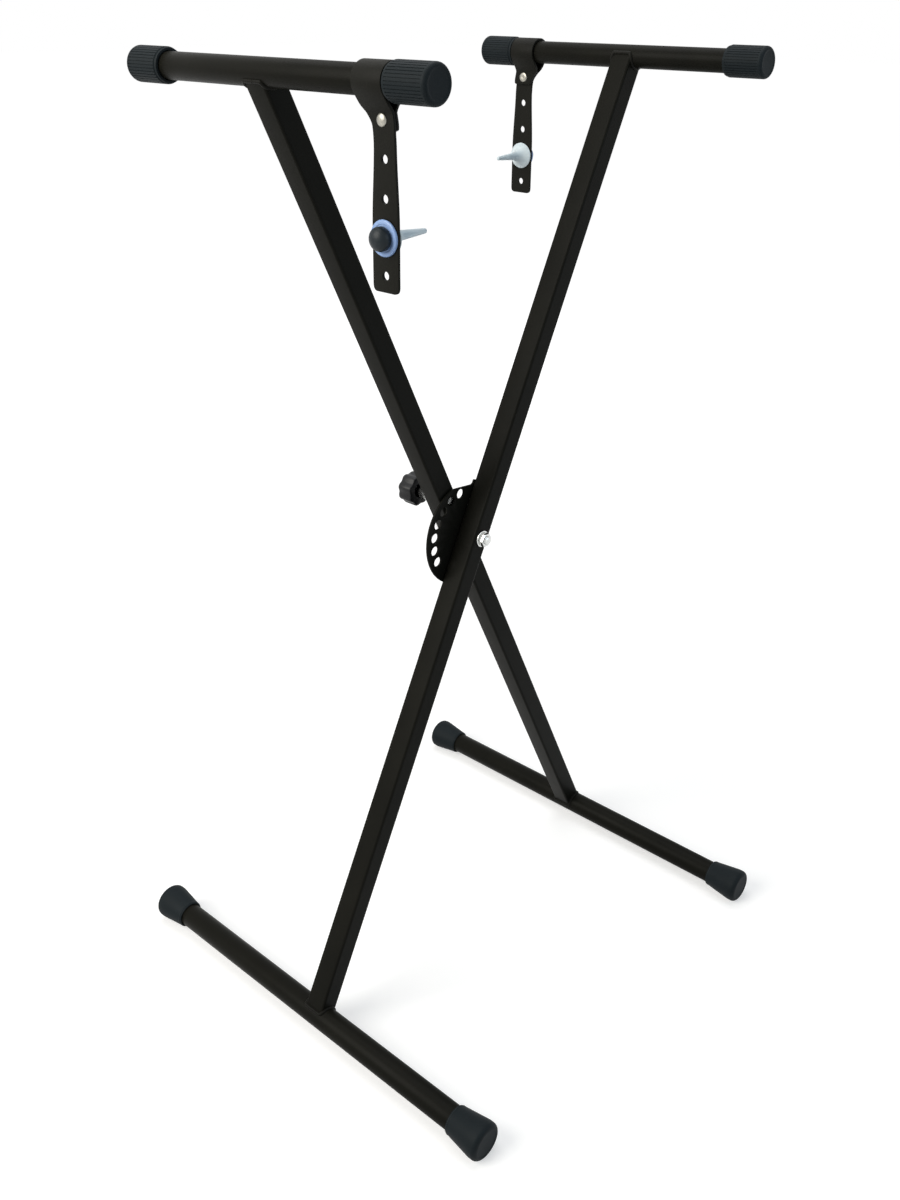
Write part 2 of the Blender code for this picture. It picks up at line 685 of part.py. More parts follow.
def strap(name, frame):
    path = strap_path()
    rings = []
    for i, (x, z, w, y) in enumerate(path):
        ax, az = path[max(i - 1, 0)][:2]
        bx, bz = path[min(i + 1, len(path) - 1)][:2]
        length = sqrt((bx - ax) ** 2 + (bz - az) ** 2)
        nx, nz = (bz - az) / length * STRAP_T / 2, -(bx - ax) / length * STRAP_T / 2
        rings.append([
            (x + nx, -y - w / 2, z + nz),
            (x + nx, -y + w / 2, z + nz),
            (x - nx, -y + w / 2, z - nz),
            (x - nx, -y - w / 2, z - nz),
        ])
    made = finish_mesh(name, loft(rings), STRAP_RUBBER, frame)
    for k in range(HOLE_COUNT):
        at = (0, -strap_y, -HOLE_FIRST - k * HOLE_PITCH)
        drill(made, f"{name}_hole_{k}", HOLE_R, -ARM_R, ARM_R, at, INWARD, 16)
    drill(made, f"{name}_rivet_hole", RIVET_SHANK + GAP, -ARM_R, ARM_R, rivet_at, INWARD, 16)
    return made


def strap_parts(key, frame):
    """Everything on one strap, with Z of each turned piece laid along +X, which points to the other leg."""
    strap(f"strap_{key}", frame)
    head = layer + STRAP_T / 2 + RIVET_SEAT
    rivet_profile = [
        (0, head + RIVET_HEAD * 0.6),
        (RIVET_R * 0.75, head + RIVET_HEAD * 0.55),
        (RIVET_R, head),
        (RIVET_SHANK, head),
        (RIVET_SHANK, -head),
        (RIVET_R, -head),
        (RIVET_R * 0.93, -head - RIVET_HEAD * 0.4),
        (RIVET_R * 0.7, -head - RIVET_HEAD * 0.8),
        (RIVET_R * 0.35, -head - RIVET_HEAD),
        (0, -head - RIVET_HEAD),
    ]
    revolve(f"strap_rivet_{key}", rivet_profile, 20, ZINC, frame, rivet_at, INWARD)

    peg_hole_z = -HOLE_FIRST - PEG_HOLE * HOLE_PITCH
    peg = empty(f"peg_axis_{key}", (-layer, -strap_y, peg_hole_z), 0.0, frame)
    face = STRAP_T / 2 + GAP
    washer_low = -face - PEG_WASHER_T
    knob_base = washer_low - GAP
    screw_out, screw_in = knob_base - PEG_SCREW_OUT, face + PEG_CONE * 0.6
    bore = PEG_SCREW_R + GAP
    washer_profile = [
        (PEG_FLANGE_R - PEG_WASHER_UNDER, -face),
        (PEG_FLANGE_R, -face - PEG_EASE),
        (PEG_FLANGE_R - PEG_RIM, washer_low),
        (bore, washer_low),
        (bore, -face),
    ]
    revolve(f"peg_washer_{key}", washer_profile, 32, CLEAR, peg, (0, 0, 0), INWARD, ring=True)

    dome_base = knob_base - PEG_KNOB_SIDE
    dome_h = PEG_KNOB_H - PEG_KNOB_SIDE
    dome = [(PEG_KNOB_R * cos(a), dome_base - dome_h * sin(a)) for a in (pi / 2 * k / 5 for k in range(5))]
    knob_profile = [
        (0, screw_out - GAP),
        (bore, screw_out - GAP),
        (bore, knob_base),
        (PEG_KNOB_R - PEG_EASE, knob_base),
        (PEG_KNOB_R, knob_base - PEG_EASE),
        *dome,
        (0, knob_base - PEG_KNOB_H),
    ]
    revolve(f"peg_knob_{key}", knob_profile, 24, PLASTIC, peg, (0, 0, 0), INWARD)

    neck_r = HOLE_R - PEG_NECK_FREE
    spike_profile = [
        (0, PEG_LEN),
        (PEG_TIP_R * 0.6, PEG_LEN - PEG_TIP_FLAT),
        (PEG_TIP_R, PEG_LEN - PEG_TIP_ROUND),
        (PEG_ROOT_R, face + PEG_CONE),
        (PEG_ROOT_R + PEG_FLARE_ROOT, face + PEG_CONE * 0.6),
        (PEG_FLANGE_R - PEG_FLARE_RIM, face + PEG_CONE * 0.28),
        (PEG_FLANGE_R, face + PEG_RIM),
        (PEG_FLANGE_R, face),
        (neck_r, face),
        (neck_r, -STRAP_T / 2),
        (bore, -STRAP_T / 2),
        (bore, screw_in + GAP),
        (0, screw_in + GAP),
    ]
    revolve(f"peg_spike_{key}", spike_profile, 32, CLEAR, peg, (0, 0, 0), INWARD)
    screw_profile = [(0, screw_in), (PEG_SCREW_R, screw_in), (PEG_SCREW_R, screw_out), (0, screw_out)]
    revolve(f"peg_screw_{key}", screw_profile, 12, ZINC, peg, (0, 0, 0), INWARD)


strap_frame_a = empty("strap_axis_a", (0, 0, LEG_UP), HALF_ANGLE, frame_a)
strap_frame_b = empty("strap_axis_b", (0, 0, LEG_UP), 0.0, frame_b)
strap_frame_b.rotation_euler = (Matrix.Rotation(-HALF_ANGLE, 4, "Y") @ Matrix.Rotation(pi, 4, "Z")).to_euler()
strap_parts("a", strap_frame_a)
strap_parts("b", strap_frame_b)
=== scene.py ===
"""The looks of the X keyboard stand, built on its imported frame: powder-coated tubes with weld beads, ribbed
rubber caps and flared boots, the perforated locking plate with its sprung pin, and the two peg straps."""
from math import cos, pi, radians, sin, sqrt

import bmesh
import bpy
from mathutils import Matrix, Vector


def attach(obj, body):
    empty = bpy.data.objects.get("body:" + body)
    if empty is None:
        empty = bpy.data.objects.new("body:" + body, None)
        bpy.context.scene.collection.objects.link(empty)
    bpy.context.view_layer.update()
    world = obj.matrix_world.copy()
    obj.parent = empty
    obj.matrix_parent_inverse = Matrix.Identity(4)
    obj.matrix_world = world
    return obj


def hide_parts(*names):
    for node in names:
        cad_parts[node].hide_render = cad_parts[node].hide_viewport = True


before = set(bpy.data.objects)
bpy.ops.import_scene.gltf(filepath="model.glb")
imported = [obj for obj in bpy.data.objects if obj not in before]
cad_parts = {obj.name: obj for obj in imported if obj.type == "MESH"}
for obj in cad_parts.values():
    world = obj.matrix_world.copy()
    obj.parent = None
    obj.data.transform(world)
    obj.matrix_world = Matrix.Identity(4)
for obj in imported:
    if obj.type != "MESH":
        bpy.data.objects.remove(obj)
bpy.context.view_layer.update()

MM = 0.001
TH = radians(26.57)  # each leg from upright
LEG_UP, LEG_DOWN = 505.0 * MM, 525.5 * MM
LEG_W, LEG_T, LEG_CORNER, LEG_SPACE = 22.0 * MM, 23.0 * MM, 2.5 * MM, 3.4 * MM
ARM_R, ARM_HALF = 11.1 * MM, 168.5 * MM
FOOT_R, FOOT_HALF = 12.7 * MM, 243.5 * MM
CAP_R, CAP_LEN, CAP_END = 14.6 * MM, 41.0 * MM, 4.2 * MM
BOOT_R, BOOT_LEN, BOOT_END = 19.0 * cos(pi / 32) * MM, 40.0 * MM, 4.5 * MM
GAP = 0.3 * MM  # between neighbouring pieces
ARM_WALL, FOOT_WALL = 1.3 * MM, 1.4 * MM
BOLT_R, BOLT_HOLE_R, HEX_AF = 4.0 * MM, 4.4 * MM, 13.0 * MM
WASHER_R, WASHER_T, HEAD_T, NUT_T, BOLT_PAST_NUT = 8.5 * MM, 1.6 * MM, 5.3 * MM, 5.0 * MM, 2.9 * MM
RING_R, RING_PITCH, RING_HOLES, RING_HOLE_R = 45.0 * MM, radians(18), 7, 5.1 * MM
SLEEVE_HOLE_R, PIN_HOLE_R, HOUSING_HOLE_R = 6.3 * MM, 5.0 * MM, 7.3 * MM
PIN_TRAVEL = 14 * MM
CUT = 60 * MM  # a cutter reaches this far to both sides
PUNCH = 10 * MM  # and a small one this far
PIVOT = Vector((0, 0, BOOT_R + LEG_DOWN * cos(TH)))

LEG_FACE = LEG_SPACE / 2
LEG_MID = LEG_FACE + LEG_T / 2
LEG_OUT = LEG_FACE + LEG_T
OPENING = 2 * TH

LAID = Matrix.Rotation(-pi / 2, 4, "X")  # lays Z along +Y
LAID_BACK = Matrix.Rotation(pi / 2, 4, "X")
UP_X = Matrix.Rotation(pi / 2, 4, "Y")  # lays Z along +X


def move(x, y, z):
    return Matrix.Translation((x, y, z))


FRAME = {
    "a": Matrix.Translation(PIVOT) @ Matrix.Rotation(-TH, 4, "Y"),
    "b": Matrix.Translation(PIVOT) @ Matrix.Rotation(TH, 4, "Y"),
}
ARM_X, ARM_Z = LEG_UP * sin(TH), PIVOT.z + LEG_UP * cos(TH)
HANG = {"a": move(-ARM_X, 0, ARM_Z), "b": move(ARM_X, 0, ARM_Z) @ Matrix.Rotation(pi, 4, "Z")}


# modelling helpers
def deselect():
    if bpy.context.object and bpy.context.object.mode != "OBJECT":
        bpy.ops.object.mode_set(mode="OBJECT")
    bpy.ops.object.select_all(action="DESELECT")


def only(obj):
    deselect()
    obj.select_set(True)
    bpy.context.view_layer.objects.active = obj


def pick(obj, kind, test):
    """Opens obj for editing with just those edges or faces selected that pass the test."""
    only(obj)
    bpy.ops.object.mode_set(mode="EDIT")
    bpy.ops.mesh.select_mode(type=kind)
    bpy.ops.mesh.select_all(action="DESELECT")
    shape = bmesh.from_edit_mesh(obj.data)
    for part in (shape.verts if kind == "VERT" else shape.edges if kind == "EDGE" else shape.faces):
        part.select_set(bool(test(part)))
    bmesh.update_edit_mesh(obj.data)


def close_up(obj):
    only(obj)
    bpy.ops.object.mode_set(mode="EDIT")
    bpy.ops.mesh.select_all(action="SELECT")
    bpy.ops.mesh.remove_doubles(threshold=1e-6)
    bpy.ops.mesh.normals_make_consistent(inside=False)
    bpy.ops.object.mode_set(mode="OBJECT")


def turned(name, profile, sides=64, bore=False):
    """Lathe work about Z: a circle is extruded and scaled through the (radius, height) steps. With a bore
    the profile runs round a ring's section and closes on itself."""
    deselect()
    r, z = profile[0]
    fill = "NOTHING" if bore else "NGON"
    bpy.ops.mesh.primitive_circle_add(
        vertices=sides, radius=r, fill_type=fill, location=(0, 0, 0), enter_editmode=True
    )
    bpy.ops.mesh.select_mode(type="VERT")
    bpy.ops.mesh.select_all(action="SELECT")
    bpy.ops.transform.translate(value=(0, 0, z))
    for nr, nz in profile[1:] + ([profile[0]] if bore else []):
        bpy.ops.mesh.extrude_region_move(TRANSFORM_OT_translate={"value": (0, 0, nz - z)})
        if abs(nr - r) > 1e-9:
            bpy.ops.transform.resize(value=(nr / r, nr / r, 1), center_override=(0, 0, nz))
        r, z = nr, nz
    made = bpy.context.object
    made.name = name
    close_up(made)
    return made


def modify(obj, kind, **settings):
    only(obj)
    work = obj.modifiers.new(kind.lower(), kind)
    for key, value in settings.items():
        setattr(work, key, value)
    bpy.ops.object.modifier_apply(modifier=work.name)


def soften(obj, width, segments=2, angle=32):
    modify(obj, "BEVEL", width=width, segments=segments, limit_method="ANGLE", angle_limit=radians(angle))


def carve(obj, tool, operation="DIFFERENCE"):
    modify(obj, "BOOLEAN", object=tool, operation=operation, solver="EXACT")
    bpy.data.objects.remove(tool, do_unlink=True)
    close_up(obj)


def rod(radius, low, high, matrix=Matrix(), sides=48):
    deselect()
    bpy.ops.mesh.primitive_cylinder_add(vertices=sides, radius=radius, depth=high - low, location=(0, 0, 0))
    made = bpy.context.object
    made.matrix_world = matrix @ move(0, 0, (low + high) / 2)
    return made


def block(low, high):
    deselect()
    centre = [(a + b) / 2 for a, b in zip(low, high)]
    bpy.ops.mesh.primitive_cube_add(size=1, location=centre)
    made = bpy.context.object
    made.scale = [b - a for a, b in zip(low, high)]
    bpy.ops.object.transform_apply(location=True, rotation=True, scale=True)
    return made


def place(obj, matrix):
    only(obj)
    obj.matrix_world = matrix @ obj.matrix_world
    bpy.ops.object.transform_apply(location=True, rotation=True, scale=True)


def copy_of(obj, name):
    made = obj.copy()
    made.data = obj.data.copy()
    made.name = name
    bpy.context.scene.collection.objects.link(made)
    return made


def dress(obj, finish, body, slot, *nodes, angle=35):
    only(obj)
    bpy.ops.object.shade_smooth_by_angle(angle=radians(angle))
    obj.data.materials.clear()
    obj.data.materials.append(finish)
    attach(obj, body)
    if nodes:
        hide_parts(*nodes)


def recoat(node, finish):
    """A CAD node that keeps its shape gets a better finish."""
    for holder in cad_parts[node].material_slots:
        holder.material = finish


# shared surface effects
def new_group(name, inputs, outputs):
    tree = bpy.data.node_groups.new(name, "ShaderNodeTree")
    for label, kind, value in inputs:
        made = tree.interface.new_socket(name=label, in_out="INPUT", socket_type=kind)
        made.default_value = value
    for label, kind in outputs:
        tree.interface.new_socket(name=label, in_out="OUTPUT", socket_type=kind)
    return tree, tree.nodes.new("NodeGroupInput"), tree.nodes.new("NodeGroupOutput")


def math(tree, operation, a, b):
    node = tree.nodes.new("ShaderNodeMath")
    node.operation = operation
    for i, value in enumerate((a, b)):
        if isinstance(value, (int, float)):
            node.inputs[i].default_value = value
        else:
            tree.links.new(value, node.inputs[i])
    return node.outputs[0]


def noise(tree, where, scale, detail=3.0, rough=0.55):
    node = tree.nodes.new("ShaderNodeTexNoise")
    node.inputs["Detail"].default_value = detail
    node.inputs["Roughness"].default_value = rough
    if isinstance(scale, (int, float)):
        node.inputs["Scale"].default_value = scale
    else:
        tree.links.new(scale, node.inputs["Scale"])
    tree.links.new(where, node.inputs["Vector"])
    return node.outputs["Fac"]


def object_place(tree, stretch=(1, 1, 1)):
    where = tree.nodes.new("ShaderNodeTexCoord").outputs["Object"]
    if stretch == (1, 1, 1):
        return where
    mapping = tree.nodes.new("ShaderNodeMapping")
    mapping.inputs["Scale"].default_value = stretch
    tree.links.new(where, mapping.inputs["Vector"])
    return mapping.outputs["Vector"]


def make_pebble():
    """Low soft bumps of a sprayed or moulded skin, with finer tooth on top."""
    tree, given, out = new_group(
        "skin_texture",
        [("Bump Size", "NodeSocketFloat", 500.0), ("Tooth Size", "NodeSocketFloat", 2500.0),
         ("Tooth Share", "NodeSocketFloat", 0.3)],
        [("Height", "NodeSocketFloat")],
    )
    where = object_place(tree)
    broad = noise(tree, where, given.outputs["Bump Size"], 1.0)
    fine = noise(tree, where, given.outputs["Tooth Size"], 2.0)
    tree.links.new(math(tree, "ADD", broad, math(tree, "MULTIPLY", fine, given.outputs["Tooth Share"])),
                   out.inputs["Height"])
    return tree


def make_drift():
    """Colour and gloss that drift a little over the surface."""
    tree, given, out = new_group(
        "tone_drift",
        [("Color", "NodeSocketColor", (0.02, 0.02, 0.02, 1)),
         ("Second Color", "NodeSocketColor", (0.03, 0.03, 0.03, 1)),
         ("Patch Size", "NodeSocketFloat", 18.0), ("Roughness", "NodeSocketFloat", 0.4),
         ("Roughness Drift", "NodeSocketFloat", 0.1)],
        [("Color", "NodeSocketColor"), ("Roughness", "NodeSocketFloat")],
    )
    where = object_place(tree)
    patch = noise(tree, where, given.outputs["Patch Size"], 4.0, 0.6)
    ramp = tree.nodes.new("ShaderNodeMapRange")
    ramp.inputs["From Min"].default_value = 0.3
    ramp.inputs["From Max"].default_value = 0.7
    tree.links.new(patch, ramp.inputs["Value"])
    mix = tree.nodes.new("ShaderNodeMix")
    mix.data_type = "RGBA"
    tree.links.new(ramp.outputs["Result"], mix.inputs["Factor"])
    tree.links.new(given.outputs["Color"], mix.inputs["A"])
    tree.links.new(given.outputs["Second Color"], mix.inputs["B"])
    tree.links.new(mix.outputs["Result"], out.inputs["Color"])
    swing = math(tree, "MULTIPLY", math(tree, "SUBTRACT", noise(tree, where, 45.0, 3.0), 0.5),
                 given.outputs["Roughness Drift"])
    tree.links.new(math(tree, "ADD", given.outputs["Roughness"], swing), out.inputs["Roughness"])
    return tree


def make_rub():
    """Faint rub marks: short stretched streaks that show here and there."""
    tree, given, out = new_group(
        "rub_marks", [("Amount", "NodeSocketFloat", 0.3)], [("Mask", "NodeSocketFloat")]
    )
    streak = noise(tree, object_place(tree, (900, 900, 60)), 1.0, 2.0)
    spots = noise(tree, object_place(tree), 35.0, 2.0)
    ramp = tree.nodes.new("ShaderNodeMapRange")
    ramp.inputs["From Min"].default_value = 0.62
    ramp.inputs["From Max"].default_value = 0.72
    tree.links.new(streak, ramp.inputs["Value"])
    gate = tree.nodes.new("ShaderNodeMapRange")
    gate.inputs["From Min"].default_value = 0.52
    gate.inputs["From Max"].default_value = 0.66
    tree.links.new(spots, gate.inputs["Value"])
    both = math(tree, "MULTIPLY", ramp.outputs["Result"], gate.outputs["Result"])
    tree.links.new(math(tree, "MULTIPLY", both, given.outputs["Amount"]), out.inputs["Mask"])
    return tree


SKIN, DRIFT, RUB = make_pebble(), make_drift(), make_rub()


def use(tree, group, **values):
    node = tree.nodes.new("ShaderNodeGroup")
    node.node_tree = group
    for key, value in values.items():
        node.inputs[key.replace("_", " ")].default_value = value
    return node


def finish(name, colour, second, rough, rough_drift=0.08, patch=18.0, bump=500.0, tooth=2500.0, share=0.3,
           depth=0.1, reach=0.1 * MM, rub=0.0, rub_colour=None, **plain):
    """A finish on one Principled shader: drifting tone, skin texture and faint rub marks."""
    made = bpy.data.materials.new(name)
    made.use_nodes = True
    tree = made.node_tree
    shader = tree.nodes["Principled BSDF"]
    for key, value in plain.items():
        shader.inputs[key.replace("_", " ")].default_value = value
    tone = use(tree, DRIFT, Color=(*colour, 1), Second_Color=(*second, 1), Patch_Size=patch, Roughness=rough,
               Roughness_Drift=rough_drift)
    colour_out, rough_out = tone.outputs["Color"], tone.outputs["Roughness"]
    if rub:
        marks = use(tree, RUB, Amount=rub).outputs["Mask"]
        mix = tree.nodes.new("ShaderNodeMix")
        mix.data_type = "RGBA"
        mix.inputs["B"].default_value = (*rub_colour, 1)
        tree.links.new(marks, mix.inputs["Factor"])
        tree.links.new(colour_out, mix.inputs["A"])
        colour_out = mix.outputs["Result"]
        rough_out = math(tree, "ADD", rough_out, math(tree, "MULTIPLY", marks, 0.2))
    tree.links.new(colour_out, shader.inputs["Base Color"])
    tree.links.new(rough_out, shader.inputs["Roughness"])
    skin = use(tree, SKIN, Bump_Size=bump, Tooth_Size=tooth, Tooth_Share=share)
    relief = tree.nodes.new("ShaderNodeBump")
    relief.inputs["Strength"].default_value = depth
    relief.inputs["Distance"].default_value = reach
    tree.links.new(skin.outputs["Height"], relief.inputs["Height"])
    tree.links.new(relief.outputs["Normal"], shader.inputs["Normal"])
    return made


COAT = finish("black_powder_coat", (0.0064, 0.0064, 0.0051), (0.0088, 0.0086, 0.0067), 0.40, 0.10,
              bump=420, tooth=1600, depth=0.16, rub=0.25, rub_colour=(0.020, 0.0195, 0.016),
              Specular_IOR_Level=0.035)
WELD = finish("coated_weld", (0.0058, 0.0058, 0.0047), (0.0092, 0.0088, 0.0070), 0.45, 0.15,
              bump=900, tooth=2600, depth=0.4, Specular_IOR_Level=0.06)
# Near-black rubber. Its bluish tint, in the rub colour too, is painted light: the cool front light that the
# end faces catch, painted into the colour.
RUBBER = finish("cap_rubber", (0.0062, 0.0092, 0.0110), (0.0090, 0.0130, 0.0154), 0.58, 0.12,
                bump=700, tooth=3200, share=0.6, depth=0.3, rub=0.35, rub_colour=(0.024, 0.028, 0.030),
                Specular_IOR_Level=0.09)
STRAP = finish("strap_rubber", (0.0056, 0.0056, 0.0043), (0.0084, 0.0082, 0.0062), 0.52, 0.14,
               bump=600, tooth=2800, share=0.5, depth=0.3, rub=0.3, rub_colour=(0.028, 0.026, 0.020),
               Specular_IOR_Level=0.07)
ZINC = finish("bright_zinc", (0.62, 0.63, 0.62), (0.74, 0.74, 0.72), 0.24, 0.18, patch=120,
              bump=900, tooth=4000, depth=0.12, reach=0.05 * MM, rub=0.4, rub_colour=(0.42, 0.42, 0.4),
              Metallic=1.0)
RIVET = finish("dull_rivet", (0.25, 0.24, 0.21), (0.36, 0.35, 0.31), 0.38, 0.16, patch=160,
               bump=900, tooth=4000, depth=0.2, reach=0.05 * MM, rub=0.4, rub_colour=(0.22, 0.205, 0.17),
               Metallic=1.0)
SPRING = finish("spring_steel", (0.42, 0.43, 0.44), (0.52, 0.52, 0.52), 0.3, 0.1, patch=200,
                depth=0.1, Metallic=1.0)
KNOB = finish("black_plastic", (0.0075, 0.008, 0.009), (0.0105, 0.011, 0.012), 0.38, 0.1,
              bump=800, tooth=3000, depth=0.2, rub=0.2, rub_colour=(0.04, 0.04, 0.04),
              Specular_IOR_Level=0.2)
PEG_KNOB = finish("peg_knob_plastic", (0.0070, 0.0114, 0.0145), (0.0096, 0.0150, 0.0188), 0.42, 0.1,
                  bump=900, tooth=3000, depth=0.15, Specular_IOR_Level=0.2)
PALE_BLUE = finish("pale_blue_plastic", (0.24, 0.38, 0.70), (0.31, 0.46, 0.78), 0.36, 0.1, patch=60,
                   bump=300, tooth=1500, depth=0.08, Transmission_Weight=0.12, IOR=1.45)
FROSTED = finish("frosted_plastic", (0.64, 0.75, 0.82), (0.75, 0.84, 0.88), 0.34, 0.1, patch=60,
                 bump=300, tooth=1500, depth=0.08, Transmission_Weight=0.15, IOR=1.45)
NYLON = finish("white_nylon", (0.62, 0.62, 0.58), (0.7, 0.7, 0.66), 0.45, 0.1, depth=0.1)


# round tubes, caps and boots
def pipe(name, radius, wall, half):
    made = turned(
        name,
        [(radius, -half), (radius, half), (radius - wall, half), (radius - wall, -half)],
        96, bore=True,
    )
    soften(made, 0.25 * MM)
    return made


def ribbed_cap():
    """Blind bore, smooth collar, lengthwise grooves, rounded rim and a faintly dished end."""
    r, length = CAP_R, CAP_LEN
    made = turned("cap", [
        (ARM_R + GAP, length - CAP_END), (ARM_R + GAP, 0.4 * MM), (ARM_R + 0.7 * MM, 0),
        (r - 1.4 * MM, 0), (r - 0.9 * MM, 0.25 * MM), (r - 0.7 * MM, 0.8 * MM), (r - 0.7 * MM, 2.3 * MM),
        (r - 0.35 * MM, 2.6 * MM), (r, 3.0 * MM), (r, 37.2 * MM), (r, 37.9 * MM), (r - 0.12 * MM, 38.7 * MM),
        (r - 0.45 * MM, 39.5 * MM), (r - 1.0 * MM, 40.2 * MM), (r - 1.7 * MM, 40.75 * MM),
        (r - 2.4 * MM, length), (r - 3.4 * MM, length), (r - 3.9 * MM, length - 0.25 * MM),
        (r - 5.0 * MM, length - 0.35 * MM),
    ], 144)
    low, high = 2.9 * MM, 37.3 * MM

    def groove(face):
        heights = [v.co.z for v in face.verts]
        if len(heights) != 4 or min(heights) < low or max(heights) > high:
            return False
        middle = face.calc_center_median()
        if middle.xy.length < r - 0.2 * MM:
            return False
        column = round((Vector((1, 0)).angle_signed(middle.xy) % (2 * pi)) / (2 * pi) * 144 - 0.5)
        return column % 4 == 0

    pick(made, "FACE", groove)
    bpy.ops.mesh.inset(use_boundary=True, use_even_offset=True, thickness=0.12 * MM, depth=-0.5 * MM)
    bpy.ops.object.mode_set(mode="OBJECT")
    return made


def flared_boot():
    r, length = BOOT_R, BOOT_LEN
    neck = 14.4 * MM
    curve = [
        (r - 5 * MM + 5 * MM * cos(a), 35 * MM + 5 * MM * sin(a)) for a in (pi / 2 * k / 9 for k in range(9))
    ]
    return turned("boot", [
        (FOOT_R + GAP, length - BOOT_END), (FOOT_R + GAP, 0.4 * MM), (FOOT_R + 0.7 * MM, 0),
        (neck - 0.5 * MM, 0), (neck - 0.15 * MM, 0.15 * MM), (neck, 0.5 * MM), (neck + 0.1 * MM, 1.3 * MM),
        (neck + 0.3 * MM, 1.5 * MM), (neck + 0.6 * MM, 1.7 * MM), (neck + 0.6 * MM, 4.0 * MM),
        (neck + 0.75 * MM, 4.6 * MM), (r - 0.25 * MM, 29.0 * MM), (r, 31.0 * MM), *curve,
        (r - 5.3 * MM, length), (r - 5.8 * MM, length - 0.35 * MM), (r - 6.6 * MM, length - 0.4 * MM),
    ], 128)


CAP, BOOT = ribbed_cap(), flared_boot()
for key, matrix in FRAME.items():
    body = "frame_" + key
    arm = pipe("support_arm_tube_" + key, ARM_R, ARM_WALL, ARM_HALF - CAP_END - GAP)
    place(arm, matrix @ move(0, 0, LEG_UP) @ LAID)
    dress(arm, COAT, body, "coat", "support_arm_" + key)
    foot = pipe("foot_bar_" + key, FOOT_R, FOOT_WALL, FOOT_HALF - BOOT_END - GAP)
    place(foot, matrix @ move(0, 0, -LEG_DOWN) @ LAID)
    dress(foot, COAT, body, "coat", "foot_tube_" + key)
    for end, side, lay in (("near", -1, LAID_BACK), ("far", 1, LAID)):
        cap = copy_of(CAP, f"ribbed_cap_{key}_{end}")
        place(cap, matrix @ move(0, side * (ARM_HALF - CAP_LEN), LEG_UP) @ lay)
        dress(cap, RUBBER, body, "rubber", f"arm_cap_{key}_{end}", angle=28)
        boot = copy_of(BOOT, f"flared_boot_{key}_{end}")
        place(boot, matrix @ move(0, side * (FOOT_HALF - BOOT_LEN), -LEG_DOWN) @ lay)
        dress(boot, RUBBER, body, "rubber", f"foot_boot_{key}_{end}", angle=28)
for pattern in (CAP, BOOT):
    bpy.data.objects.remove(pattern, do_unlink=True)


# legs with weld beads
def leg(name, key, side):
    """A square-cornered tube with both ends coped to its round tubes."""
    y_mid = side * LEG_MID
    made = block((-LEG_W / 2, y_mid - LEG_T / 2, -LEG_DOWN), (LEG_W / 2, y_mid + LEG_T / 2, LEG_UP))
    made.name = name
    pick(made, "EDGE", lambda e: abs((e.verts[0].co - e.verts[1].co).z) > 0.5)
    bpy.ops.mesh.bevel(offset=LEG_CORNER, offset_type="OFFSET", segments=6, affect="EDGES")
    bpy.ops.object.mode_set(mode="OBJECT")
    for reach, radius in ((LEG_UP, ARM_R), (-LEG_DOWN, FOOT_R)):
        carve(made, rod(radius + 0.05 * MM, -CUT, CUT, move(0, y_mid, reach) @ LAID, 128))
    carve(made, rod(SLEEVE_HOLE_R, -CUT, CUT, move(0, y_mid, 0) @ LAID, 64))
    if key == "a":
        at = move(0, 0, RING_R) @ LAID
        carve(made, rod(PIN_HOLE_R, -LEG_T, LEG_MID, at, 64))
        carve(made, rod(HOUSING_HOLE_R, LEG_MID - 1 * MM, 2 * LEG_T, at, 64))
    return made


def weld_bead(name, side, reach, radius):
    """Overlapping puddles of weld round the mouth of a leg, along the saddle where it meets the tube."""
    outline = []
    hw, ht, c = LEG_W / 2, LEG_T / 2, LEG_CORNER
    corners = ((hw - c, ht - c, 0), (c - hw, ht - c, 0.5), (c - hw, c - ht, 1), (hw - c, c - ht, 1.5))
    for i, (cx, cy, start) in enumerate(corners):
        turns = [pi * (start + t / 12) for t in range(7)]
        arc = [Vector((cx + c * cos(a), cy + c * sin(a))) for a in turns]
        nx, ny, nstart = corners[(i + 1) % 4]
        nxt = Vector((nx + c * cos(pi * nstart), ny + c * sin(pi * nstart)))
        outline += arc + [arc[-1].lerp(nxt, t / 24) for t in range(1, 24)]
    sign = 1 if reach > 0 else -1
    path = [Vector((x, y + side * LEG_MID, reach - sign * sqrt(radius ** 2 - x * x))) for x, y in outline]
    around, rings, run = 12, [], 0.0
    for i, here in enumerate(path):
        ahead, behind = path[(i + 1) % len(path)], path[i - 1]
        along = (ahead - behind).normalized()
        out = Vector((here.x, 0, here.z - reach)).normalized()
        lift = (out - along * out.dot(along)).normalized()
        across = along.cross(lift)
        run += (here - behind).length if i else 0.0
        puddle = abs(sin(pi * run / (2.3 * MM)))
        r = (1.55 + 0.4 * sqrt(puddle)) * MM
        shift = along * 0.25 * MM * sin(2 * pi * run / (5.1 * MM))
        rings.append([here + shift + r * (cos(2 * pi * k / around) * lift + sin(2 * pi * k / around) * across)
                      for k in range(around)])
    shape = bmesh.new()
    rows = [[shape.verts.new(p) for p in ring] for ring in rings]
    for a, b in zip(rows, rows[1:] + rows[:1]):
        for k in range(around):
            shape.faces.new((a[k], a[(k + 1) % around], b[(k + 1) % around], b[k]))
    data = bpy.data.meshes.new(name)
    shape.to_mesh(data)
    shape.free()
    made = bpy.data.objects.new(name, data)
    bpy.context.scene.collection.objects.link(made)
    close_up(made)
    return made


for key, side in (("a", 1), ("b", -1)):
    made = leg("leg_bar_" + key, key, side)
    place(made, FRAME[key])
    dress(made, COAT, "frame_" + key, "coat", "leg_" + key)
    for end, reach, radius in (("top", LEG_UP, ARM_R), ("foot", -LEG_DOWN, FOOT_R)):
        bead = weld_bead(f"weld_{key}_{end}", side, reach, radius)
        place(bead, FRAME[key])
        dress(bead, WELD, "frame_" + key, "coat", angle=60)

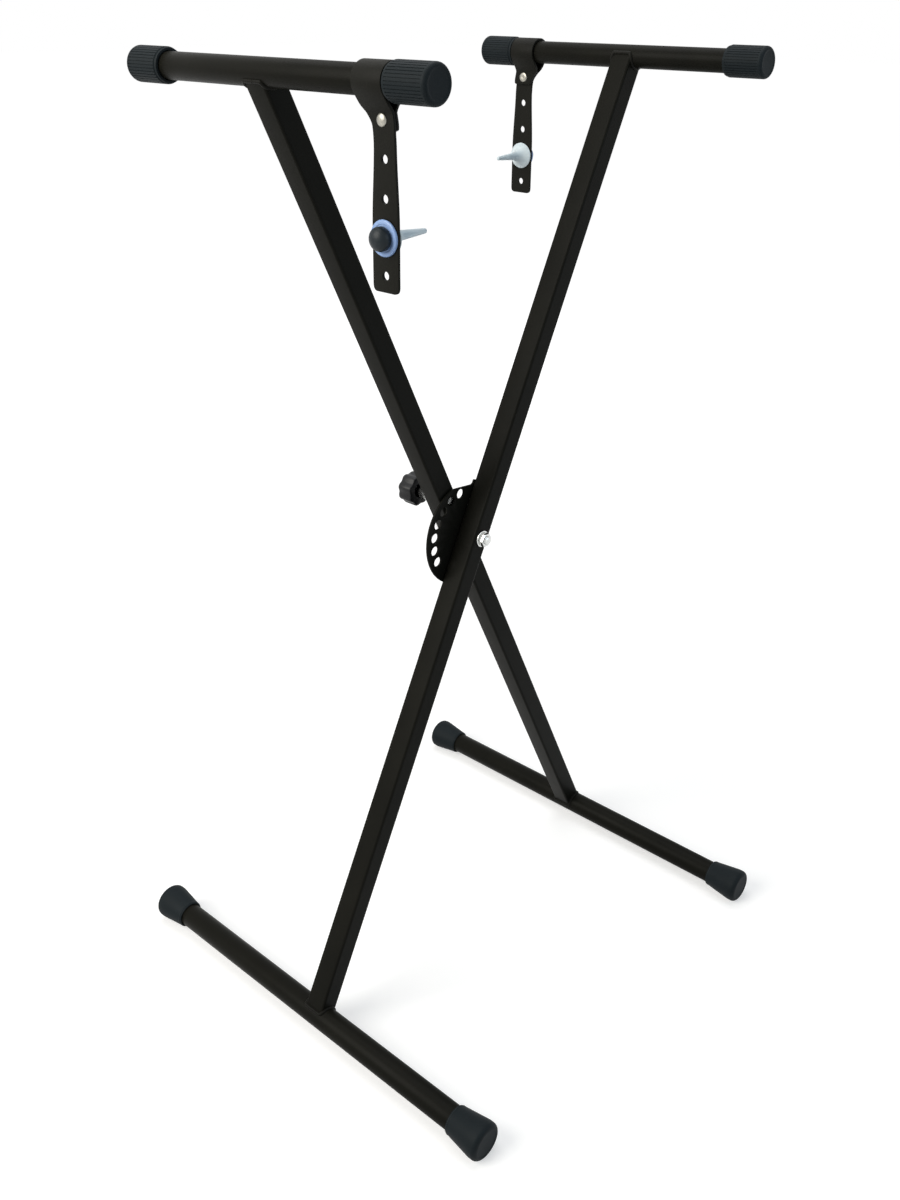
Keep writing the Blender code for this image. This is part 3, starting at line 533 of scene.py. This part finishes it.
# locking plate
PLATE_R, PLATE_T, PLATE_BACK, PLATE_FILLET = 55.7 * MM, 2.0 * MM, 8.0 * MM, 2.43 * MM
FLAT, FLAT_TURN = 50.2 * MM, radians(20.4)  # the straight edge above the first hole
plate_low = -LEG_FACE + GAP
plate = turned("lock_plate", [(PLATE_R, 0), (PLATE_R, PLATE_T)], 160)
place(plate, move(0, plate_low, 0) @ LAID)
carve(plate, block((PLATE_BACK, -0.02, -0.1), (0.1, 0.02, 0.1)))
waste = block((-0.1, -0.02, FLAT), (0.1, 0.02, 0.12))  # past the straight edge, up to the leg
place(waste, Matrix.Rotation(-FLAT_TURN, 4, "Y"))
carve(waste, block((-LEG_W / 2, -0.03, 0), (0.2, 0.03, 0.2)))
pick(waste, "EDGE", lambda e: all(abs(v.co.x + LEG_W / 2) < 1e-5 and v.co.z < 52 * MM for v in e.verts))
bpy.ops.mesh.bevel(offset=PLATE_FILLET, offset_type="OFFSET", segments=8, affect="EDGES")
bpy.ops.object.mode_set(mode="OBJECT")
carve(plate, waste)
for k in range(RING_HOLES):
    a = OPENING + (k - 1) * RING_PITCH
    spot = move(-RING_R * sin(a), 0, RING_R * cos(a))
    carve(plate, rod(RING_HOLE_R, -PUNCH, PUNCH, spot @ LAID, 64))
carve(plate, rod(BOLT_HOLE_R, -PUNCH, PUNCH, LAID, 48))
soften(plate, 0.3 * MM, 3, 40)
place(plate, FRAME["b"])
dress(plate, COAT, "frame_b", "coat", "locking_plate")


# pivot hardware
def hexagon_part(name, across, thick, both):
    """A hexagon turned off at its corners, on one face or both, as bolts and nuts are."""
    made = rod(across / 2 / cos(pi / 6), 0, thick, Matrix(), 6)
    place(made, Matrix())
    made.name = name
    tip, wide = across / 2 * 0.97, across / 2 * 1.2
    fall = (wide - tip) * 0.52
    low = [(tip, 0), (wide, fall)] if both else [(wide, 0)]
    cone = turned("cone", low + [(wide, thick - fall), (tip, thick)], 96)
    carve(made, cone, "INTERSECT")
    soften(made, 0.15 * MM, 2, 30)
    return made


def thread(radius, low, high, pitch=1.25 * MM, depth=0.55 * MM):
    """Steps of a screw thread's outline from low to high."""
    steps, z = [], low
    while z + pitch < high:
        steps += [(radius, z), (radius, z + 0.12 * pitch), (radius - depth, z + 0.5 * pitch),
                  (radius - depth, z + 0.62 * pitch)]
        z += pitch
    return steps + [(radius, z), (radius, high)]


head_at = LEG_OUT + GAP + WASHER_T + GAP
nut_at = -head_at
end_at = nut_at - NUT_T - BOLT_PAST_NUT
bolt = turned("hex_bolt", [(3.0 * MM, end_at), (3.3 * MM, end_at + 0.3 * MM)]
              + thread(BOLT_R, end_at + 0.8 * MM, nut_at + 4 * MM) + [(BOLT_R, head_at + HEAD_T / 2)], 64)
head = hexagon_part("head", HEX_AF, HEAD_T, False)
place(head, move(0, 0, head_at))
carve(bolt, head, "UNION")
nut = hexagon_part("hex_nut", HEX_AF, NUT_T, True)
carve(nut, rod(BOLT_R + GAP, -PUNCH, 2 * PUNCH, Matrix(), 64))
soften(nut, 0.2 * MM, 2, 50)
place(nut, move(0, nut_at, 0) @ LAID_BACK)
place(bolt, LAID)
for piece, node in ((bolt, "pivot_bolt"), (nut, "pivot_nut")):
    place(piece, FRAME["a"])
    dress(piece, ZINC, "frame_a", "zinc", node, angle=25)
for name, start in (("head_washer", LEG_OUT + GAP), ("nut_washer", nut_at + GAP)):
    section = [(WASHER_R, 0), (WASHER_R, WASHER_T), (BOLT_HOLE_R, WASHER_T), (BOLT_HOLE_R, 0)]
    ring = turned(name + "_ring", section, 72, bore=True)
    soften(ring, 0.3 * MM, 3)
    place(ring, FRAME["a"] @ move(0, start, 0) @ LAID)
    dress(ring, ZINC, "frame_a", "zinc", name)

# lock pin, its housing and knob
lock_at = FRAME["a"] @ move(0, 0, RING_R) @ LAID
flange_low = LEG_OUT + GAP
flange_high = flange_low + 1.8 * MM
housing = turned("pin_housing", [
    (7.0 * MM, LEG_FACE + 3.1 * MM), (7.0 * MM, flange_low), (9.0 * MM, flange_low),
    (9.0 * MM, flange_high - 0.6 * MM), (8.7 * MM, flange_high - 0.2 * MM), (7.8 * MM, flange_high),
    (7.2 * MM, flange_high + 0.4 * MM), (7.0 * MM, flange_high + 1.0 * MM), (7.0 * MM, 37.4 * MM),
    (6.8 * MM, 37.8 * MM), (6.4 * MM, 38.0 * MM), (3.3 * MM, 38.0 * MM), (3.3 * MM, 35.2 * MM),
    (5.0 * MM, 35.2 * MM), (5.0 * MM, LEG_FACE + 3.1 * MM),
], 72, bore=True)
place(housing, lock_at)
dress(housing, ZINC, "frame_a", "zinc", "lock_housing", angle=30)
tip = plate_low + PLATE_T + 0.4 * MM
shoulder = tip + 24 * MM
knob_low = flange_high + 0.5 * MM + PIN_TRAVEL
knob_floor = knob_low + 13 * MM
pin = turned("spring_pin", [
    (2.2 * MM, tip), (3.1 * MM, tip), (3.7 * MM, tip + 0.2 * MM), (4.15 * MM, tip + 0.7 * MM),
    (4.45 * MM, tip + 1.2 * MM), (4.6 * MM, tip + 1.8 * MM), (4.6 * MM, shoulder - 0.4 * MM),
    (4.2 * MM, shoulder), (3.0 * MM, shoulder), (3.0 * MM, knob_floor + 2.7 * MM),
], 72)
place(pin, lock_at)
dress(pin, ZINC, "lock_pin", "zinc", "lock_pin", angle=30)
knob_r, knob_high = 15.9 * MM, knob_low + 18 * MM
knob = turned("lobed_knob", [
    (3.3 * MM, knob_floor + 3 * MM), (3.3 * MM, knob_floor), (8.0 * MM, knob_floor),
    (8.0 * MM, knob_low + 0.5 * MM), (8.5 * MM, knob_low), (knob_r - 1.4 * MM, knob_low),
    (knob_r - 0.5 * MM, knob_low + 0.4 * MM), (knob_r, knob_low + 1.3 * MM), (knob_r, knob_high - 3.6 * MM),
    (knob_r - 0.25 * MM, knob_high - 2.4 * MM), (knob_r - 1.0 * MM, knob_high - 1.3 * MM),
    (knob_r - 2.2 * MM, knob_high - 0.5 * MM), (knob_r - 4 * MM, knob_high), (5.0 * MM, knob_high),
    (4.6 * MM, knob_high - 0.4 * MM), (3.0 * MM, knob_high - 0.5 * MM),
], 160)
for vert in knob.data.vertices:
    flat = vert.co.xy.length
    if flat > knob_r - 4.2 * MM:
        a = Vector((1, 0)).angle_signed(vert.co.xy)
        wave = cos(8 * a)
        grow = 0.8 * MM * (wave if wave > 0 else wave * 1.1) * min(1, (flat - knob_r + 4.2 * MM) / (2.5 * MM))
        vert.co.xy *= 1 + grow / flat
place(knob, lock_at)
dress(knob, KNOB, "lock_pin", "knob", "lock_knob")

# straps
STRAP_T, LOOP_W, NECK_W, STRAP_W = 2.5 * MM, 29 * MM, 21 * MM, 26 * MM
STRAP_HOLE_R, RIVET_HOLE_R = 3.4 * MM, 2.3 * MM
CAP_GAP, TONGUE_OFFSET = 0.6 * MM, 6.6 * MM  # loop to cap, and the tongue's middle from the loop's
LOOP_Y = ARM_HALF - CAP_LEN - CAP_GAP - LOOP_W / 2
TONGUE_Y, DROP = LOOP_Y + TONGUE_OFFSET, 147 * MM
LAYER = (STRAP_T + GAP) / 2
RIVET_Z, RIVET_Y = -25.6 * MM, -(TONGUE_Y - 1.8 * MM)
HOLES = [-(52 + 27.5 * k) * MM for k in range(4)]


def smooth_step(a, b, t):
    t = max(0.0, min(1.0, t))
    return a + (b - a) * t * t * (3 - 2 * t)


def strap_stations():
    """(x, z, width, y) from the end of the short layer, round the arm, to the tip of the long one."""
    slope = [
        (10.35, -7.25), (8.7, -9.75), (6.9, -12.2), (5.1, -14.6), (3.6, -16.6), (2.3, -18.6), (1.4, -20.2)
    ]
    side = [(x * MM, z * MM) for x, z in slope] + [(LAYER, z * MM) for z in (-22, -24, -26, -28, -30)]

    def flare(z):
        t = (-z / MM - 14.6) / (31 - 14.6)
        return smooth_step(LOOP_W, NECK_W + 0.8 * MM, t), smooth_step(LOOP_Y, TONGUE_Y - 0.7 * MM, t)

    down = [(x, z, *flare(z)) for x, z in side]
    wrap = ARM_R + GAP + STRAP_T / 2
    loop = [(wrap * cos(a), wrap * sin(a), LOOP_W, LOOP_Y)
            for a in (radians(-35 + 250 * k / 36) for k in range(1, 36))]
    tail_end = ((-33, -4), (-32.4, -1), (-31.6, 0.4))
    tail = [(LAYER, z * MM, NECK_W + w * MM, TONGUE_Y - 0.6 * MM) for z, w in tail_end]
    tongue = []
    for k in range(1, 29):
        z = -30 - k * 4
        w = smooth_step(NECK_W, STRAP_W, (-z - 40) / 60)
        tongue.append((-LAYER, z * MM, w, smooth_step(TONGUE_Y - 0.7 * MM, TONGUE_Y, (-z - 30) / 14)))
    rounding = ((3.6, 0.3), (2.4, 1.0), (1.3, 2.4), (0.5, 4.6), (0, 8))
    end = [(-LAYER, z * MM - DROP, STRAP_W - w * MM, TONGUE_Y) for z, w in rounding]
    return tail + down[::-1] + loop + [(-x, z, w, y) for x, z, w, y in down] + tongue + end


def strap(name):
    """A ribbon drawn out edge by edge along its stations, thickened, its edges rounded, then punched."""
    stations = strap_stations()
    deselect()
    bpy.ops.mesh.primitive_plane_add(size=1, location=(0, 0, 0), enter_editmode=True)
    made = bpy.context.object
    made.name = name
    bpy.ops.mesh.select_mode(type="EDGE")
    bpy.ops.mesh.select_all(action="DESELECT")
    shape = bmesh.from_edit_mesh(made.data)
    leading = [edge for edge in shape.edges if all(v.co.x > 0 for v in edge.verts)]
    for vert in shape.verts:
        x, z, w, y = stations[vert.co.x > 0]
        vert.co = (x, -y + (w / 2 if vert.co.y > 0 else -w / 2), z)
    for edge in leading:
        edge.select_set(True)
    bmesh.update_edit_mesh(made.data)
    for (px, pz, pw, py), (x, z, w, y) in zip(stations[1:], stations[2:]):
        bpy.ops.mesh.extrude_region_move(TRANSFORM_OT_translate={"value": (x - px, py - y, z - pz)})
        bpy.ops.transform.resize(value=(1, w / pw, 1), center_override=(x, -y, z))
    bpy.ops.object.mode_set(mode="OBJECT")
    modify(made, "SOLIDIFY", thickness=STRAP_T, offset=0, use_even_offset=True)
    close_up(made)
    pick(made, "EDGE", lambda e: e.calc_face_angle(0) > radians(50))
    bpy.ops.mesh.bevel(offset=0.5 * MM, offset_type="OFFSET", segments=3, affect="EDGES")
    bpy.ops.object.mode_set(mode="OBJECT")
    for z in HOLES:
        carve(made, rod(STRAP_HOLE_R, -PUNCH, PUNCH, move(0, -TONGUE_Y, z) @ UP_X, 40))
    carve(made, rod(RIVET_HOLE_R, -PUNCH, PUNCH, move(0, RIVET_Y, RIVET_Z) @ UP_X, 32))
    return made


RIVET_HEAD = LAYER + STRAP_T / 2 + 0.1 * MM
FACE = STRAP_T / 2 + GAP  # of the peg and of its washer, from the tongue's middle
PEG_IN_HOLE = 2  # the hole that carries the peg, from the top
for key, hang in HANG.items():
    belt = strap("hanging_strap_" + key)
    place(belt, hang)
    dress(belt, STRAP, "strap_" + key, "strap", "strap_" + key, angle=30)

    rivet = turned("dome_rivet_" + key, [
        (1.0 * MM, RIVET_HEAD + 0.9 * MM), (1.6 * MM, RIVET_HEAD + 1.1 * MM),
        (3.0 * MM, RIVET_HEAD + 1.1 * MM), (3.7 * MM, RIVET_HEAD + 1.0 * MM),
        (4.5 * MM, RIVET_HEAD + 0.6 * MM), (4.8 * MM, RIVET_HEAD),
        (2.0 * MM, RIVET_HEAD), (2.0 * MM, -RIVET_HEAD), (4.8 * MM, -RIVET_HEAD),
        (4.75 * MM, -RIVET_HEAD - 0.35 * MM), (4.4 * MM, -RIVET_HEAD - 0.85 * MM),
        (3.8 * MM, -RIVET_HEAD - 1.25 * MM), (3.0 * MM, -RIVET_HEAD - 1.58 * MM),
        (2.0 * MM, -RIVET_HEAD - 1.8 * MM), (1.0 * MM, -RIVET_HEAD - 1.88 * MM),
        (0.3 * MM, -RIVET_HEAD - 1.9 * MM),
    ], 48)
    place(rivet, hang @ move(0, RIVET_Y, RIVET_Z) @ UP_X)
    dress(rivet, RIVET, "strap_" + key, "zinc", "strap_rivet_" + key)

    peg = hang @ move(-LAYER, -TONGUE_Y, HOLES[PEG_IN_HOLE]) @ UP_X
    low = -FACE - 2.0 * MM
    washer = turned("peg_ring_" + key, [
        (12.1 * MM, -FACE), (13.1 * MM, -FACE), (13.45 * MM, -FACE - 0.4 * MM),
        (13.5 * MM, -FACE - 0.8 * MM), (13.3 * MM, -FACE - 1.3 * MM), (12.8 * MM, -FACE - 1.75 * MM),
        (12.1 * MM, low), (10.4 * MM, low), (10.0 * MM, low + 0.3 * MM), (9.3 * MM, low + 0.3 * MM),
        (1.7 * MM, low + 0.3 * MM), (1.7 * MM, -FACE),
    ], 80, bore=True)
    place(washer, peg)
    dress(washer, PALE_BLUE, "peg_" + key, "peg", "peg_washer_" + key)

    base = low - GAP
    turns = [pi / 2 * k / 12 for k in range(12, 0, -1)]
    dome = [(9.0 * MM * sin(a), base - 3.5 * MM - 6.0 * MM * cos(a)) for a in turns]
    button = turned("peg_button_" + key, [
        (1.7 * MM, base - 5.8 * MM), (1.7 * MM, base), (8.2 * MM, base), (8.7 * MM, base - 0.2 * MM),
        (9.0 * MM, base - 0.7 * MM), *dome,
    ], 64)
    place(button, peg)
    dress(button, PEG_KNOB, "peg_" + key, "knob", "peg_knob_" + key)

    spike = turned("peg_pin_" + key, [
        (0.6 * MM, 42.0 * MM), (1.2 * MM, 41.8 * MM), (1.75 * MM, 41.4 * MM), (2.1 * MM, 40.7 * MM),
        (3.9 * MM, 15.5 * MM), (4.2 * MM, 13.5 * MM), (4.75 * MM, 11.6 * MM), (5.5 * MM, 9.95 * MM),
        (6.7 * MM, 8.3 * MM), (8.0 * MM, 6.8 * MM), (9.5 * MM, 5.4 * MM), (11.1 * MM, 4.2 * MM),
        (12.3 * MM, 3.2 * MM), (13.0 * MM, 2.7 * MM), (13.4 * MM, 2.3 * MM), (13.5 * MM, 1.95 * MM),
        (13.3 * MM, FACE + 0.05 * MM), (12.7 * MM, FACE), (3.0 * MM, FACE), (3.0 * MM, -STRAP_T / 2),
        (1.7 * MM, -STRAP_T / 2), (1.7 * MM, FACE + 8.7 * MM),
    ], 80)
    place(spike, peg)
    dress(spike, FROSTED, "peg_" + key, "peg", "peg_spike_" + key)

for node, coat in (("pivot_sleeve_a", ZINC), ("pivot_sleeve_b", ZINC), ("pivot_liner", NYLON),
                   ("lock_spring", SPRING), ("peg_screw_a", ZINC), ("peg_screw_b", ZINC)):
    recoat(node, coat)

# floor, light and camera
def seen_straight(tree):
    """1 where the eye, a reflection or clear plastic looks, 0 for the light that falls on the stand."""
    rays = tree.nodes.new("ShaderNodeLightPath").outputs
    mirrored = math(tree, "MAXIMUM", rays["Is Camera Ray"], rays["Is Glossy Ray"])
    return math(tree, "MAXIMUM", mirrored, rays["Is Transmission Ray"])


deselect()
bpy.ops.mesh.primitive_plane_add(size=40, location=(0, 0, -0.0002))
floor = bpy.context.object
floor.name = "studio_floor"
pale = bpy.data.materials.new("pale_floor")
pale.use_nodes = True
tree = pale.node_tree
tree.nodes.clear()
out = tree.nodes.new("ShaderNodeOutputMaterial")
matt = tree.nodes.new("ShaderNodeBsdfDiffuse")
matt.inputs["Color"].default_value = (0.6, 0.6, 0.6, 1)
glow = tree.nodes.new("ShaderNodeEmission")
seen = seen_straight(tree)
away = tree.nodes.new("ShaderNodeVectorMath")
away.operation = "LENGTH"
tree.links.new(object_place(tree), away.inputs[0])
fade = tree.nodes.new("ShaderNodeMapRange")  # the lamps light the floor near the stand, the glow the rest
for label, value in (("From Min", 0.5), ("From Max", 2.4), ("To Min", 0.55), ("To Max", 0.95)):
    fade.inputs[label].default_value = value
tree.links.new(away.outputs["Value"], fade.inputs["Value"])
tree.links.new(math(tree, "MULTIPLY", seen, fade.outputs["Result"]), glow.inputs["Strength"])
both = tree.nodes.new("ShaderNodeAddShader")
tree.links.new(matt.outputs[0], both.inputs[0])
tree.links.new(glow.outputs[0], both.inputs[1])
tree.links.new(both.outputs[0], out.inputs["Surface"])
floor.data.materials.append(pale)

world = bpy.data.worlds.new("studio")
bpy.context.scene.world = world
world.use_nodes = True
tree = world.node_tree
tree.nodes.clear()
out = tree.nodes.new("ShaderNodeOutputWorld")
soft, white = tree.nodes.new("ShaderNodeBackground"), tree.nodes.new("ShaderNodeBackground")
soft.inputs["Color"].default_value = (1.0, 1.0, 1.0, 1)
soft.inputs["Strength"].default_value = 0.1
white.inputs["Color"].default_value = (1, 1, 1, 1)
white.inputs["Strength"].default_value = 1.0
seen = seen_straight(tree)
mix = tree.nodes.new("ShaderNodeMixShader")
tree.links.new(seen, mix.inputs["Fac"])
tree.links.new(soft.outputs[0], mix.inputs[1])
tree.links.new(white.outputs[0], mix.inputs[2])
tree.links.new(mix.outputs[0], out.inputs["Surface"])


def soft_box(name, spot, aim, size, power, colour):
    deselect()
    bpy.ops.object.light_add(type="AREA", location=spot)
    lamp = bpy.context.object
    lamp.name = name
    lamp.data.shape = "RECTANGLE"
    lamp.data.size, lamp.data.size_y = size
    lamp.data.energy = power
    lamp.data.color = colour
    lamp.rotation_euler = (Vector(aim) - Vector(spot)).to_track_quat("-Z", "Y").to_euler()


soft_box("window", (-2.2, 0.8, 1.9), (0, 0, 0.5), (1.6, 2.0), 75, (1.0, 0.97, 0.90))
soft_box("front_fill", (0.6, -2.6, 1.6), (0, 0, 0.5), (2.0, 1.6), 16, (0.62, 0.84, 1.0))
soft_box("top", (0.2, 0.4, 3.0), (0, 0, 0.4), (2.2, 2.2), 40, (1.0, 1.0, 1.0))

view = bpy.data.cameras.new("photo_view")
camera = bpy.data.objects.new("photo_view", view)
bpy.context.scene.collection.objects.link(camera)
turn, pitch, roll = radians(48.415), radians(-23.457), radians(0.557)
ahead = Vector((sin(turn) * cos(pitch), cos(turn) * cos(pitch), sin(pitch)))
right = Vector((cos(turn), -sin(turn), 0))
up = right.cross(ahead)
right, up = cos(roll) * right + sin(roll) * up, cos(roll) * up - sin(roll) * right
camera.matrix_world = move(-0.847412, -0.733026, 0.994821) @ Matrix((right, up, -ahead)).transposed().to_4x4()
view.sensor_width = 36
view.lens = 35.838
view.shift_x, view.shift_y = 0.00031, -0.07177
view.clip_end = 60
bpy.context.scene.camera = camera
bpy.context.scene.view_settings.view_transform = "Standard"
